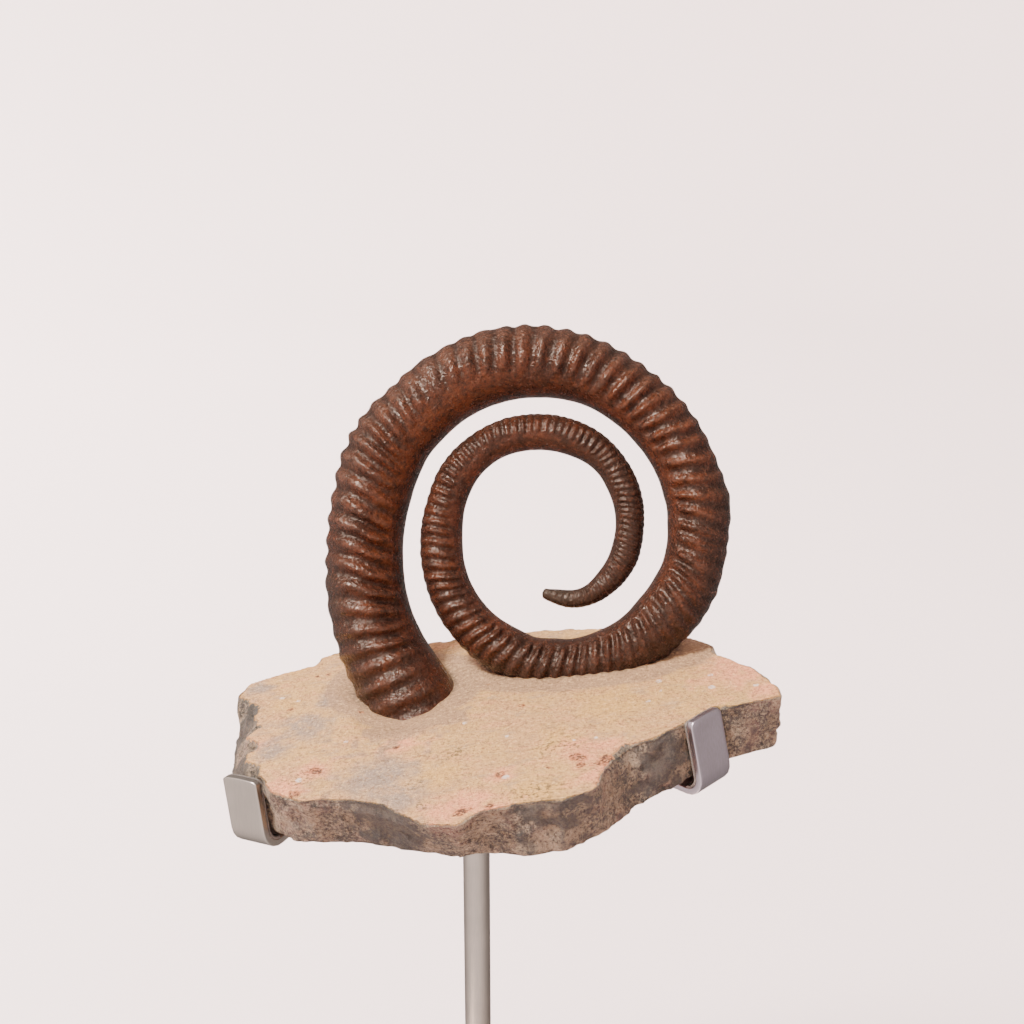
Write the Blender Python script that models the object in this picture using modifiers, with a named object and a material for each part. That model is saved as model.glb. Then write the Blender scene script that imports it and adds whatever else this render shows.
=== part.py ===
"""An open-coiled fossil ammonite that stands in its limestone slab, on a steel museum stand.

Units are metres and +Z is up. The origin is the middle of the base plate's underside, on the
rod's axis. The slab rests in a frame of its own, tilted about Y so that its +X end is higher.
"""
import math

import bmesh
import bpy
import numpy as np
from mathutils import Vector

MM = 0.001
GAP = 0.3 * MM  # left between pieces that touch

# Stand
BASE_SIDE = 150 * MM
BASE_THICKNESS = 10 * MM
BASE_CORNER = 6 * MM
BASE_EDGE = 0.8 * MM
ROD_RADIUS = 6 * MM
ROD_SIDES = 40
STRIP_WIDTH = 18 * MM
STRIP_THICKNESS = 3 * MM
STRIP_BEND = 8 * MM  # to the middle of the strip's thickness
BEND_STEPS = 6
LINER_THICKNESS = 1.0 * MM
CROSS_BAR = (-84 * MM, 78 * MM)  # its two ends along the slab's length
CROSS_BAR_WIDTH = 28 * MM
CROSS_BAR_THICKNESS = 4 * MM

# Slab
SLAB_TOP_HEIGHT = 245 * MM  # on the rod's axis
SLAB_SIDE = 25 * MM  # height of its rough side
SLAB_THICKNESS = 30.5 * MM  # at its flat underside, inside the sloping rim
SLAB_TILT = math.radians(7.5)
OUTLINE_STEP = 6.5 * MM

# Coil
COIL_OFFSET = (33.2 * MM, 58.8 * MM, 62.5 * MM)  # of its centre, from the slab's top on the rod's axis
COIL_LEAN = math.radians(22)  # back from upright
COIL_TURN = math.radians(-4)  # about the vertical
FOOT_ANGLE = 231.4  # degrees, in the coil's plane, where the thick end meets the slab
FOOT_DEPTH = 9 * MM  # how far the thick end goes into the slab
FOOT_ZONE = ((-95 * MM, -40 * MM), (12 * MM, 90 * MM))  # the part of the slab around the thick end
TRIM_DEPTH = 90 * MM
FIRST_TURN = -17.0
LAST_TURN = 684.0
FLATTENING = 1.13  # width across the coil's plane, as a share of the height in it
RIB_PITCH = 5.35  # degrees of turn from one rib to the next
RIB_SHARE = 0.045  # rib height above or below the mean radius, as a share of the radius
RIB_LAG = math.tan(math.radians(13))  # how far the outer end of a rib falls back toward the tip
SMOOTH_BAND = (math.radians(38), math.radians(75))  # from the inner side: no rib, then the full rib
SECTION_SIDES = 14
POCKET_SIDES = 20
POCKET_CLEARANCE = 0.8 * MM
POCKET_STEP = 6.0

# Degrees of turn from the foot, then the radius from the coil's centre and the tube's height, in mm.
COIL_STATIONS = (
    (-20, 121.0, 41.0),
    (-10, 111.0, 40.0),
    (0, 101.5, 39.5),
    (15, 94.0, 38.5),
    (30, 89.2, 37.3),
    (60, 83.1, 35.4),
    (90, 80.5, 34.4),
    (105, 79.1, 33.5),
    (120, 77.6, 33.6),
    (150, 73.7, 30.6),
    (165, 71.2, 28.8),
    (180, 69.1, 27.9),
    (210, 67.6, 27.9),
    (240, 66.6, 26.9),
    (270, 65.1, 26.5),
    (300, 62.8, 24.6),
    (330, 60.0, 22.8),
    (360, 56.3, 20.9),
    (390, 51.3, 19.1),
    (405, 49.7, 18.7),
    (420, 48.7, 18.1),
    (450, 47.9, 17.1),
    (465, 46.7, 16.4),
    (480, 45.2, 16.7),
    (510, 42.5, 16.4),
    (540, 39.9, 14.1),
    (570, 37.3, 13.3),
    (600, 35.5, 12.8),
    (630, 35.1, 11.4),
    (660, 33.5, 8.0),
    (675, 31.0, 6.4),
    (685, 30.0, 4.6),
)

# The slab's outline in its own frame: x, y and how far the underside draws in there, in mm.
SLAB_OUTLINE = (
    (-108, 56, 8),
    (-98, 61, 8),
    (-81, 68, 8),
    (-78, 75, 8),
    (-67, 79, 7),
    (-40, 78, 6),
    (-5, 76.5, 3),
    (25, 77, 3),
    (40, 75, 6),
    (58, 70, 8),
    (78, 60, 8),
    (98, 49, 8),
    (108, 38, 7),
    (110, 27, 6),
    (122, 10, 4),
    (129, -8, 2),
    (130, -17, 7),
    (120, -21, 5),
    (107, -22.5, 3),
    (100.5, -20.6, 1),
    (86.5, -32.6, 0),
    (72, -42, -1),
    (62, -44, -5),
    (56, -54, -3),
    (51, -65, 1),
    (48, -76, 8),
    (34, -80, 4),
    (19, -80, 4),
    (4, -82, 8),
    (-5, -91, 14),
    (-19, -86, 15),
    (-36, -68, 8),
    (-52, -61, 8),
    (-68, -57, 8),
    (-80, -47, 5),
    (-87.5, -36.2, 0),
    (-103, -27, -1),
    (-106, -19, -5),
    (-103, -4, -6),
    (-107, 19, -3),
    (-112, 38, 4),
)
# Share of the side's height at each row of it, and how far that row stands proud, in mm.
SIDE_ROWS = ((0.0, 0.0), (0.12, 1.2), (0.38, 0.2), (0.68, 1.4), (1.0, 0.0))
RIPPLE_STEP = 2.1  # radians of the sides' ripple from one outline point to the next
RIPPLE_SHIFT = 5.0  # radians by which the ripple runs on from the top edge to the bottom one
UNDERSIDE_MIDDLE = (0.0, -5 * MM)
UNDERSIDE_SHARE = 0.8  # of the outline that the flat underside keeps

# Clamps: the middle of the outer face at the slab's top, the direction it faces, how high the
# prong stands above the slab's top, how far it leans in over the slab, and the arm's length.
CLAMPS = {
    "front_left": ((-97.5 * MM, -35.0 * MM), -120.5, 0.0, 3.0, 62 * MM),
    "front_right": ((96.1 * MM, -29.4 * MM), -49.0, 1.5 * MM, 6.0, 62 * MM),
    "back": ((10.0 * MM, 80.4 * MM), 90.0, -4.0 * MM, 0.0, 92 * MM),
}


def clear_scene():
    for old in list(bpy.data.objects):
        bpy.data.objects.remove(old)


def new_collection(name):
    collection = bpy.data.collections.new(name)
    bpy.context.scene.collection.children.link(collection)
    return collection


def new_material(name, colour, roughness, metallic=0.0):
    material = bpy.data.materials.new(name)
    material.use_nodes = True
    shader = material.node_tree.nodes["Principled BSDF"]
    shader.inputs["Base Color"].default_value = (*colour, 1.0)
    shader.inputs["Roughness"].default_value = roughness
    shader.inputs["Metallic"].default_value = metallic
    material.diffuse_color = (*colour, 1.0)
    return material


def place(data, name, collection, material=None, parent=None):
    placed = bpy.data.objects.new(name, data)
    collection.objects.link(placed)
    placed.parent = parent
    if material:
        data.materials.append(material)
    return placed


def make_cutter(cutter):
    cutter.hide_render = True
    cutter.display_type = "WIRE"
    return cutter


def cut(target, cutter):
    modifier = target.modifiers.new(f"cut_{cutter.name}", "BOOLEAN")
    modifier.operation = "DIFFERENCE"
    modifier.solver = "EXACT"
    modifier.object = cutter


def mesh_from(bm, name, smooth=False):
    bmesh.ops.recalc_face_normals(bm, faces=bm.faces)
    mesh = bpy.data.meshes.new(name)
    bm.to_mesh(mesh)
    bm.free()
    if smooth:
        mesh.shade_smooth()
        mesh.set_sharp_from_angle(angle=math.radians(50))
    return mesh


def box_mesh(name, low, high):
    """A box between two corners."""
    bm = bmesh.new()
    bmesh.ops.create_cube(bm, size=1.0)
    size = Vector(high) - Vector(low)
    middle = (Vector(high) + Vector(low)) / 2
    bmesh.ops.scale(bm, vec=size, verts=bm.verts)
    bmesh.ops.translate(bm, vec=middle, verts=bm.verts)
    return mesh_from(bm, name)


def loft(rings, name, smooth=False):
    """A closed skin over rings of points, each ring with the same number of them, capped at both ends."""
    bm = bmesh.new()
    rows = [[bm.verts.new(point) for point in ring] for ring in rings]
    count = len(rows[0])
    for near, far in zip(rows, rows[1:]):
        for i in range(count):
            j = (i + 1) % count
            bm.faces.new((near[i], near[j], far[j], far[i]))
    bm.faces.new(rows[0])
    bm.faces.new(rows[-1])
    return mesh_from(bm, name, smooth)


def read_between(stations, at):
    """Values at given positions on a smooth curve through the stations, whose first column is position."""
    table = np.array(stations, float)
    position, values = table[:, 0], table[:, 1:]
    slopes = np.gradient(values, position, axis=0)
    at = np.clip(np.asarray(at, float), position[0], position[-1])
    i = np.clip(np.searchsorted(position, at) - 1, 0, len(position) - 2)
    span = (position[i + 1] - position[i])[:, None]
    t = ((at - position[i])[:, None]) / span
    start = values[i] * (1 + 2 * t) * (1 - t) ** 2 + slopes[i] * span * t * (1 - t) ** 2
    end = values[i + 1] * t**2 * (3 - 2 * t) + slopes[i + 1] * span * t**2 * (t - 1)
    return start + end


def coil_centres(turns):
    """Points on the coil's middle line, in its plane, as x and z."""
    radius = read_between(COIL_STATIONS, turns)[:, 0] * MM
    angle = np.radians(FOOT_ANGLE - np.asarray(turns))
    return np.stack([radius * np.cos(angle), radius * np.sin(angle)], axis=1)


def coil_ring(turn, sides, rib, extra):
    """One cross-section of the coil, slanted as the ribs are. rib is +1 on a crest, -1 in a groove."""
    before, centre, after = coil_centres([turn - 0.5, turn, turn + 0.5])
    along = (after - before) / np.linalg.norm(after - before)
    outward = np.array([-along[1], along[0]])
    if np.dot(outward, centre) < 0:
        outward = -outward
    half = read_between(COIL_STATIONS, [turn])[0, 1] * MM / 2
    start, full = SMOOTH_BAND
    points = []
    for k in range(sides):
        around = 2 * math.pi * k / sides
        from_inner = min(around, 2 * math.pi - around)
        ribbed = min(max((from_inner - start) / (full - start), 0.0), 1.0)
        reach = half * (1 + RIB_SHARE * rib * ribbed) + extra
        offset = -math.cos(around) * reach
        place_in_plane = centre + outward * offset + along * RIB_LAG * offset
        across = math.sin(around) * reach * FLATTENING
        points.append((place_in_plane[0], across, place_in_plane[1]))
    return points


def build_ammonite(collection, material, frame, foot_trim):
    turns = np.arange(FIRST_TURN, LAST_TURN, RIB_PITCH / 2)
    rings = [coil_ring(turn, SECTION_SIDES, 1 if i % 2 else -1, 0.0) for i, turn in enumerate(turns)]
    rings.append(coil_ring(LAST_TURN, SECTION_SIDES, 0, 0.0))
    ammonite = place(loft(rings, "ammonite", smooth=True), "ammonite", collection, material, frame)
    cut(ammonite, foot_trim)
    return ammonite


def build_pocket_cutter(name, first, last, collection, frame):
    """A smooth length of the coil, a little fatter than the ribbed one, that hollows the slab."""
    turns = np.arange(first, last + POCKET_STEP / 2, POCKET_STEP)
    rings = [coil_ring(turn, POCKET_SIDES, 1, POCKET_CLEARANCE) for turn in turns]
    return make_cutter(place(loft(rings, name), name, collection, None, frame))


def outline_points():
    """The slab's outline filled in at even steps, each point with its inset and its outward direction."""
    corners = np.array(SLAB_OUTLINE, float)
    filled = []
    for a, b in zip(corners, np.roll(corners, -1, axis=0)):
        steps = max(1, round(np.linalg.norm((b - a)[:2]) * MM / OUTLINE_STEP))
        filled += [a + (b - a) * k / steps for k in range(steps)]
    filled = np.array(filled) * MM
    run = np.roll(filled, -1, axis=0)[:, :2] - np.roll(filled, 1, axis=0)[:, :2]
    outward = np.stack([-run[:, 1], run[:, 0]], axis=1)
    outward /= np.linalg.norm(outward, axis=1)[:, None]
    return filled, outward


def build_slab(collection, material, frame):
    filled, outward = outline_points()
    step = np.arange(len(filled))
    rings = []
    for share, proud in SIDE_ROWS:
        inset = filled[:, 2] * share
        ripple = proud * MM * np.sin(RIPPLE_STEP * step + RIPPLE_SHIFT * share)
        flat = filled[:, :2] + outward * (ripple - inset)[:, None]
        rings.append([(x, y, -share * SLAB_SIDE) for x, y in flat])
    middle = np.array(UNDERSIDE_MIDDLE)
    flat = middle + (flat - middle) * UNDERSIDE_SHARE
    rings.append([(x, y, -SLAB_THICKNESS) for x, y in flat])
    return place(loft(rings, "matrix_slab"), "matrix_slab", collection, material, frame)


def strip_path(rise, lean, arm_length):
    """Middle line of a clamp strip seen from its side: x outward from the prong's outer face, y up."""
    half = STRIP_THICKNESS / 2
    arm_height = -SLAB_THICKNESS - GAP - half
    up = math.radians(90 + lean)
    foot_x = -half - (rise - arm_height) * math.tan(math.radians(-lean))
    bend = [
        (math.sin(a) * STRIP_BEND, STRIP_BEND - math.cos(a) * STRIP_BEND)
        for a in (up * k / BEND_STEPS for k in range(BEND_STEPS + 1))
    ]
    reach = foot_x - STRIP_BEND * math.tan(up / 2)
    points = [(-arm_length, arm_height)]
    points += [(reach + x, arm_height + y) for x, y in bend]
    points.append((-half, rise))
    return points


def thicken(path, inner, outer):
    """A closed outline between two distances to the left and right of a path."""
    points = [Vector(p) for p in path]
    left, right = [], []
    for i, point in enumerate(points):
        ahead = (points[min(i + 1, len(points) - 1)] - points[max(i - 1, 0)]).normalized()
        side = Vector((-ahead.y, ahead.x))
        left.append(point + side * inner)
        right.append(point + side * outer)
    return left + right[::-1]


def extruded_outline(name, outline, width):
    curve = bpy.data.curves.new(name, "CURVE")
    curve.dimensions = "2D"
    curve.fill_mode = "BOTH"
    curve.extrude = width / 2
    spline = curve.splines.new("POLY")
    spline.points.add(len(outline) - 1)
    for point, (x, y) in zip(spline.points, outline):
        point.co = (x, y, 0, 1)
    spline.use_cyclic_u = True
    return curve


def stand_on_edge(placed, where, azimuth):
    """Turns an outline drawn in x and y so that x runs outward at the azimuth and y runs up."""
    placed.location = (*where, 0)
    placed.rotation_euler = (math.pi / 2, 0, math.radians(azimuth))


def build_clamp(name, spec, collection, steel, felt, frame, cutters):
    where, azimuth, rise, lean, arm_length = spec
    half = STRIP_THICKNESS / 2
    path = strip_path(rise, lean, arm_length)
    strip = place(
        extruded_outline(f"clamp_{name}", thicken(path, half, -half), STRIP_WIDTH),
        f"clamp_{name}", collection, steel, frame,
    )
    stand_on_edge(strip, where, azimuth)
    straight = [Vector(path[-2]), Vector(path[-1])]
    liner_outline = thicken(straight, half + GAP + LINER_THICKNESS, half + GAP)
    liner = place(
        extruded_outline(f"liner_{name}", liner_outline, STRIP_WIDTH),
        f"liner_{name}", collection, felt, frame,
    )
    stand_on_edge(liner, where, azimuth)
    depth = half + 2 * GAP + LINER_THICKNESS
    toward = (straight[1] - straight[0]).normalized()
    side = Vector((-toward.y, toward.x)) * depth
    foot = straight[0] - toward * SLAB_THICKNESS + side
    top = straight[1] + toward * SLAB_THICKNESS + side
    far = 2 * SLAB_THICKNESS
    seat = place(
        mesh_of_outline(f"seat_{name}", [foot, top, (far, top.y), (far, foot.y)], STRIP_WIDTH + 1 * MM),
        f"seat_{name}", cutters, None, frame,
    )
    stand_on_edge(seat, where, azimuth)
    return make_cutter(seat)


def mesh_of_outline(name, outline, width):
    """An outline in x and y, extruded both ways along z."""
    bm = bmesh.new()
    face = bm.faces.new([bm.verts.new((x, y, -width / 2)) for x, y in outline])
    raised = bmesh.ops.extrude_face_region(bm, geom=[face])["geom"]
    corners = [item for item in raised if isinstance(item, bmesh.types.BMVert)]
    bmesh.ops.translate(bm, vec=(0, 0, width), verts=corners)
    return mesh_from(bm, name)


def build_cross_bar(collection, steel, frame):
    top = -SLAB_THICKNESS - 2 * GAP - STRIP_THICKNESS
    half = CROSS_BAR_WIDTH / 2
    low = (CROSS_BAR[0], -half, top - CROSS_BAR_THICKNESS)
    bar = place(
        box_mesh("cross_bar", low, (CROSS_BAR[1], half, top)), "cross_bar", collection, steel, frame
    )
    bar.modifiers.new("edges", "BEVEL").width = 0.5 * MM
    return -low[2]


def build_rod(collection, steel, bar_underside):
    """The rod's top is mitred to the tilted cross bar that it carries."""
    foot = BASE_THICKNESS + GAP
    top = SLAB_TOP_HEIGHT - (bar_underside + GAP) / math.cos(SLAB_TILT)
    bm = bmesh.new()
    bmesh.ops.create_cone(
        bm, cap_ends=True, segments=ROD_SIDES, radius1=ROD_RADIUS, radius2=ROD_RADIUS, depth=top - foot
    )
    for vertex in bm.verts:
        upper = vertex.co.z > 0
        vertex.co.z += (top + foot) / 2
        if upper:
            vertex.co.z += vertex.co.x * math.tan(SLAB_TILT)
    place(mesh_from(bm, "rod", smooth=True), "rod", collection, steel)


def build_base(collection, steel):
    bm = bmesh.new()
    bmesh.ops.create_cube(bm, size=1.0)
    bmesh.ops.scale(bm, vec=(BASE_SIDE, BASE_SIDE, BASE_THICKNESS), verts=bm.verts)
    bmesh.ops.translate(bm, vec=(0, 0, BASE_THICKNESS / 2), verts=bm.verts)
    corners = [e for e in bm.edges if abs(e.verts[0].co.z - e.verts[1].co.z) > BASE_THICKNESS / 2]
    bmesh.ops.bevel(bm, geom=corners, offset=BASE_CORNER, segments=5, profile=0.5, affect="EDGES")
    rims = [e for e in bm.edges if len(e.link_faces) == 2 and e.calc_face_angle() > math.radians(80)]
    bmesh.ops.bevel(bm, geom=rims, offset=BASE_EDGE, segments=2, profile=0.5, affect="EDGES")
    place(mesh_from(bm, "base_plate"), "base_plate", collection, steel)


def build_frames(collection):
    slab_frame = place(None, "slab_frame", collection)
    slab_frame.location = (0, 0, SLAB_TOP_HEIGHT)
    slab_frame.rotation_euler = (0, -SLAB_TILT, 0)
    coil_frame = place(None, "coil_frame", collection)
    coil_frame.location = (COIL_OFFSET[0], COIL_OFFSET[1], SLAB_TOP_HEIGHT + COIL_OFFSET[2])
    coil_frame.rotation_euler = (-COIL_LEAN, 0, COIL_TURN)
    return slab_frame, coil_frame


def build_foot_trim(name, depth, collection, frame):
    """Everything under the thick end of the coil, from a given depth below the slab's top."""
    low = (*FOOT_ZONE[0], -TRIM_DEPTH)
    high = (*FOOT_ZONE[1], -depth)
    return make_cutter(place(box_mesh(name, low, high), name, collection, None, frame))


def main():
    clear_scene()
    parts = new_collection("fossil_ammonite")
    cutters = new_collection("cutters")
    shell = new_material("fossil_shell", (0.17, 0.062, 0.03), 0.36)
    stone = new_material("matrix_stone", (0.56, 0.44, 0.32), 0.86)
    steel = new_material("stand_steel", (0.6, 0.58, 0.57), 0.3, 1.0)
    felt = new_material("liner_felt", (0.12, 0.1, 0.085), 0.95)
    slab_frame, coil_frame = build_frames(parts)

    build_base(parts, steel)
    bar_underside = build_cross_bar(parts, steel, slab_frame)
    build_rod(parts, steel, bar_underside)

    foot_trim = build_foot_trim("foot_trim", FOOT_DEPTH, cutters, slab_frame)
    build_ammonite(parts, shell, coil_frame, foot_trim)

    slab = build_slab(parts, stone, slab_frame)
    foot_pocket = build_pocket_cutter("foot_pocket", FIRST_TURN - 1, 30, cutters, coil_frame)
    pocket_floor = build_foot_trim("pocket_floor", FOOT_DEPTH + GAP, cutters, slab_frame)
    cut(foot_pocket, pocket_floor)
    cut(slab, foot_pocket)
    cut(slab, build_pocket_cutter("whorl_pocket", 262, 352, cutters, coil_frame))
    for name, spec in CLAMPS.items():
        cut(slab, build_clamp(name, spec, parts, steel, felt, slab_frame, cutters))


main()
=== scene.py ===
"""The fossil ammonite in its limestone slab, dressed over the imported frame, in metres with +Z up."""
import math

import bmesh
import bpy
import numpy as np
from mathutils import Euler, Matrix, Vector, geometry


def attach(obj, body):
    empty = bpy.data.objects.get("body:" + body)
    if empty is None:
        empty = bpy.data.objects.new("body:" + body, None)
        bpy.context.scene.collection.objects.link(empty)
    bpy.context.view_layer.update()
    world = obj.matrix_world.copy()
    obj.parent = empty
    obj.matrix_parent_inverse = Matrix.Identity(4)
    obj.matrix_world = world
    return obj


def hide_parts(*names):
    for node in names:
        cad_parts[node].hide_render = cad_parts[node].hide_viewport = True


MM = 0.001

# Frames of the slab and of the coil
SLAB_TOP_HEIGHT = 245 * MM
SLAB_TILT = math.radians(7.5)
COIL_OFFSET = (33.2 * MM, 58.8 * MM, 62.5 * MM)
COIL_LEAN = math.radians(22)
COIL_TURN = math.radians(-4)
SLAB_FRAME = Matrix.Translation((0, 0, SLAB_TOP_HEIGHT)) @ Matrix.Rotation(-SLAB_TILT, 4, "Y")
COIL_FRAME = Matrix.Translation(
    (COIL_OFFSET[0], COIL_OFFSET[1], SLAB_TOP_HEIGHT + COIL_OFFSET[2])
) @ Euler((-COIL_LEAN, 0, COIL_TURN)).to_matrix().to_4x4()

# Camera
CAMERA_PLACE = Vector((15.9 * MM, -577.2 * MM, 546.7 * MM))
CAMERA_PITCH = math.radians(20)
FOCAL_PIXELS = 1500
IMAGE_SIDE = 1024
SENSOR = 36

# Studio
FLOOR_RADIUS = 1.9
FLOOR_RINGS = 6
WALL_BEND = 0.9  # radius of the curve between floor and wall
WALL_BEND_STEPS = 16
WALL_HEIGHT = 3.2
STUDIO_SIDES = 96
FOSSIL_MIDDLE = (0.01, 0.0, 0.28)
# Place, target, width and height, power in W, colour, what it lights, whether reflections show it
LIGHTS = {
    "key_softbox": ((-0.72, -0.45, 1.60), FOSSIL_MIDDLE, (0.28, 0.28), 86, (1.0, 0.97, 0.93), "fossil", True),
    "right_fill": ((1.5, -0.9, 0.9), FOSSIL_MIDDLE, (1.0, 1.0), 5.5, (0.94, 0.95, 1.0), "fossil", False),
    "back_fill": ((1.2, 0.9, 0.5), FOSSIL_MIDDLE, (1.0, 1.0), 5, (1.0, 0.93, 0.88), "fossil", False),
    "paper_softbox": ((-2.0, 0.7, 2.7), (-0.9, 0.9, 0.0), (2.0, 2.0), 500, (1.0, 0.91, 0.89), "paper", True),
}
WORLD_COLOUR = (1.0, 0.93, 0.89, 1.0)
BRIGHT_SIDE = (-0.36, -0.93, 0.0)  # where the studio is brightest, as the steel reflects it
BRIGHT_RANGE = (-0.6, 1.0)  # closeness to that side at which the light starts to rise, and is full
WORLD_STRENGTH = (0.30, 1.45)  # on the far side and on the bright one

# Coil
FOOT_ANGLE = 231.4  # where turn 0 is, in degrees anticlockwise from the coil's right
FOOT_DEPTH = 9 * MM  # how deep the thick end reaches into the slab
FIRST_TURN = -17.0
LAST_TURN = 687.0
TIP_ROUNDING = 1.8  # degrees of turn in which the broken tip closes
FLATTENING = 1.13
BACK_FLATTENING = 0.05  # how much less the unseen side bulges
RINGS = 1060
RING_SIDES = 90
RING_CROWDING = 0.6  # 0 spaces the rings evenly by angle and 1 evenly by length
TRIM_LAST_TURN = 60  # the foot's flat cut reaches no further up the coil

# Turn in degrees, and in mm the distance of the tube's middle from the coil's centre and the tube's width
COIL_STATIONS = (
    (-20, 121.0, 41.0), (-10, 111.0, 40.0), (0, 101.5, 39.5), (15, 94.0, 38.5),
    (30, 89.2, 37.3), (60, 83.1, 35.4), (90, 80.5, 34.4), (105, 79.1, 33.5),
    (120, 77.6, 33.6), (150, 73.7, 30.6), (165, 71.2, 28.8), (180, 69.1, 27.9),
    (210, 67.6, 27.9), (240, 66.6, 26.9), (270, 65.1, 26.5), (300, 62.8, 24.6),
    (330, 60.0, 22.8), (360, 56.3, 20.9), (390, 51.3, 19.1), (405, 49.7, 18.7),
    (420, 48.7, 18.1), (450, 47.9, 17.1), (465, 46.7, 16.4), (480, 45.2, 16.7),
    (510, 42.5, 16.4), (540, 39.9, 14.1), (570, 37.3, 13.3), (600, 35.5, 12.8),
    (630, 35.1, 11.4), (660, 33.5, 8.0), (675, 31.0, 6.4), (685, 30.0, 4.6),
)
# Turn in degrees of each rib's crest halfway across the tube
RIB_CRESTS = (
    -22, -16.5, -11, -5.5, 0.2, 5.4, 10.6, 15.1, 20.4, 25.8, 31.8, 37.4, 43.4, 49, 54.6, 61.4, 67.4, 73,
    77.6, 82.8, 88.4, 94, 101, 107.6, 113.2, 118.8, 125.2, 131, 137.2, 143.6, 149.2, 155.4, 161.2, 167.2,
    173.4, 178.8, 185.2, 191.6, 197.4, 204, 211.4, 218, 224.4, 231.2, 236.4, 243.6, 249.4, 254, 259.2,
    264.8, 270, 275.5, 280.4, 286.9, 291.1, 295.5, 301, 305.7, 310.7, 316, 321.8, 327, 332.8, 338.2,
    343.6, 349, 353.8, 359, 364.6, 369.8, 375.4, 380.2, 384.8, 390.8, 396.4, 402.4, 407.8, 412.6, 417.6,
    423.2, 428.2, 434, 439, 443.6, 447.6, 452.4, 456.8, 461.6, 466.4, 471.2, 475.8, 480.4, 484.6, 488.6,
    492.6, 497.6, 502, 506, 509.6, 513.8, 518, 522.4, 526.8, 531.2, 535.4, 539.3, 543.4, 548.8, 552.6,
    557, 561.4, 566, 570.8, 574.5, 578.4, 582, 586.6, 591.2, 596.4, 600.6, 604.8, 608.4, 612, 616.2, 620,
    623.6, 627.4, 631.5, 635.6, 639.2, 642.8, 647.6, 652, 656, 659.4, 662.8, 666, 671, 676, 681, 686, 692,
)
RIB_GAIN = 1.75
RIB_GAIN_DROP = 0.6  # how much lower the gain is at the outer edge
RIB_WANDER = 0.07  # how far a crest strays, as a share of the way to the next
RIB_UNEVENNESS = 0.4
STEP_HEIGHT = 0.45 * MM  # how far the smooth inner side stands back from the ribbed one
LUMP_HEIGHT = 0.34 * MM
WRINKLE_HEIGHT = 0.35 * MM
SWELL_HEIGHT = 0.16 * MM
FULL_LUMPS_WIDTH = 17 * MM  # half width of the tube at which lumps have their full height
# Turn, rib height in mm in the inner third, halfway and at the outer edge, share of the tube's width
# that is smooth on the inner side, slant in degrees, and how narrow the crests are
RIB_STATIONS = (
    (-20, 0.45, 0.45, 0.30, 0.10, 8, 1.3), (15, 0.55, 0.55, 0.35, 0.12, 11, 1.3),
    (28, 0.75, 0.65, 0.35, 0.09, 21, 1.0), (45, 0.80, 0.70, 0.50, 0.09, 22, 0.9),
    (60, 0.70, 0.70, 0.65, 0.11, 19, 0.9), (78, 0.50, 0.60, 0.60, 0.22, 13, 1.2),
    (90, 0.20, 0.40, 0.38, 0.36, 13, 1.0), (105, 0.20, 0.38, 0.30, 0.40, 13, 0.9),
    (122, 0.35, 0.50, 0.35, 0.34, 10, 1.0), (137, 0.50, 0.62, 0.50, 0.30, 6, 1.1),
    (155, 0.60, 0.65, 0.50, 0.24, 5, 1.2), (170, 0.65, 0.62, 0.45, 0.20, 9, 1.2),
    (185, 0.65, 0.50, 0.36, 0.18, 14, 1.3), (200, 0.65, 0.44, 0.26, 0.16, 18, 1.35),
    (215, 0.65, 0.40, 0.22, 0.14, 15, 1.35), (232, 0.65, 0.30, 0.18, 0.16, 17, 1.3),
    (260, 0.50, 0.28, 0.14, 0.16, 20, 1.2), (290, 0.60, 0.28, 0.18, 0.14, 19, 1.2),
    (320, 0.60, 0.40, 0.20, 0.12, 16, 1.2), (345, 0.50, 0.40, 0.20, 0.12, 17, 1.2),
    (370, 0.40, 0.40, 0.15, 0.12, 15, 1.1), (395, 0.35, 0.38, 0.12, 0.14, 13, 1.0),
    (410, 0.30, 0.42, 0.12, 0.22, 5, 1.0), (425, 0.20, 0.40, 0.14, 0.36, 5, 1.0),
    (450, 0.12, 0.30, 0.12, 0.45, 5, 1.0), (485, 0.15, 0.30, 0.12, 0.45, 5, 1.0),
    (520, 0.25, 0.32, 0.10, 0.35, 5, 1.0), (545, 0.25, 0.30, 0.10, 0.25, 9, 1.0),
    (560, 0.25, 0.25, 0.10, 0.20, 14, 1.0), (585, 0.30, 0.15, 0.08, 0.16, 12, 1.0),
    (630, 0.28, 0.10, 0.08, 0.12, 12, 1.0), (660, 0.20, 0.06, 0.06, 0.12, 8, 1.0),
    (685, 0.05, 0.05, 0.05, 0.12, 4, 1.0),
)
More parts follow.
